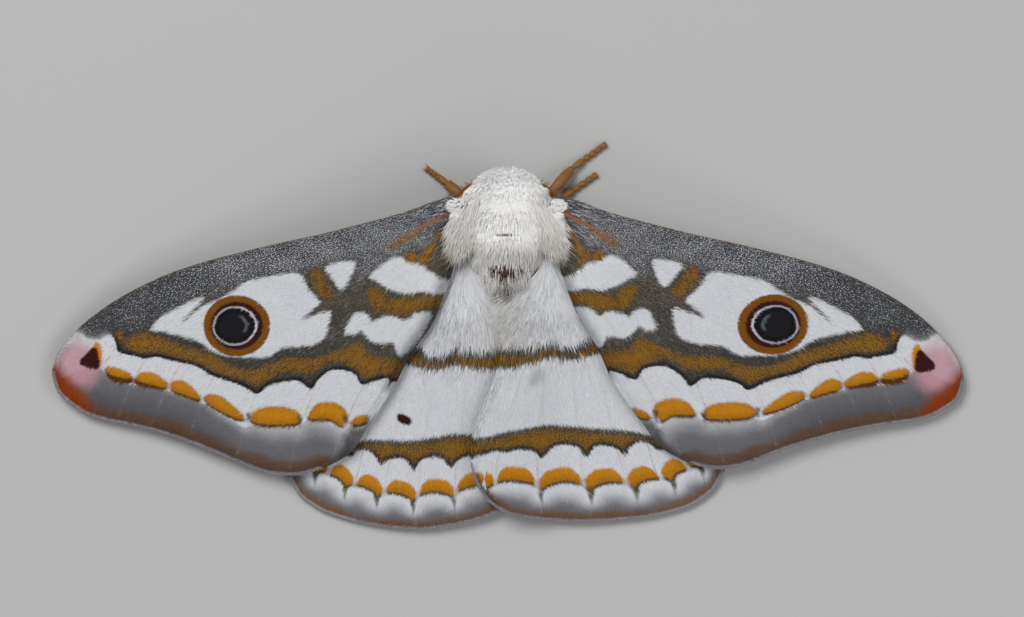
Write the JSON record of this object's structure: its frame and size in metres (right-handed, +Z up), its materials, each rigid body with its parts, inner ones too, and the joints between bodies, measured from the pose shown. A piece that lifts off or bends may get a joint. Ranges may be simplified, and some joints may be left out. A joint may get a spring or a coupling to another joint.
{
  "type": "marbled emperor moth",
  "caption": "Life-size still model of a marbled emperor moth at rest with its patterned wings spread flat, furry body, bent legs and comb-like feelers.",
  "frame": {"origin": "bottom centre of the whole moth's box, on the surface that it stands on", "axes": "+X towards the tip of the moth's right wings, +Y towards its head, +Z up from the surface that it rests on"},
  "size_m": [0.0917, 0.0389, 0.0097],
  "materials": {
    "coat_white": "long silky white fur",
    "wing_scales": "powdery scales, white, grey, ochre and brown, matt",
    "leg_ochre": "short ochre fur over a hard shell, matt",
    "feeler_rust": "rust brown, matt",
    "eye_dark": "dark, faceted, glossy"
  },
  "bodies": {
    "root": {"head": "coat_white", "thorax": "coat_white", "abdomen": "coat_white", "eye_left": "eye_dark", "eye_right": "eye_dark", "feeler_left": "feeler_rust", "feeler_right": "feeler_rust", "forewing_left": "wing_scales", "forewing_right": "wing_scales", "hindwing_left": "wing_scales", "hindwing_right": "wing_scales", "leg_fore_left": "leg_ochre", "leg_fore_right": "leg_ochre", "leg_mid_left": "leg_ochre", "leg_mid_right": "leg_ochre", "leg_hind_left": "leg_ochre", "leg_hind_right": "leg_ochre"}
  },
  "joints": []
}
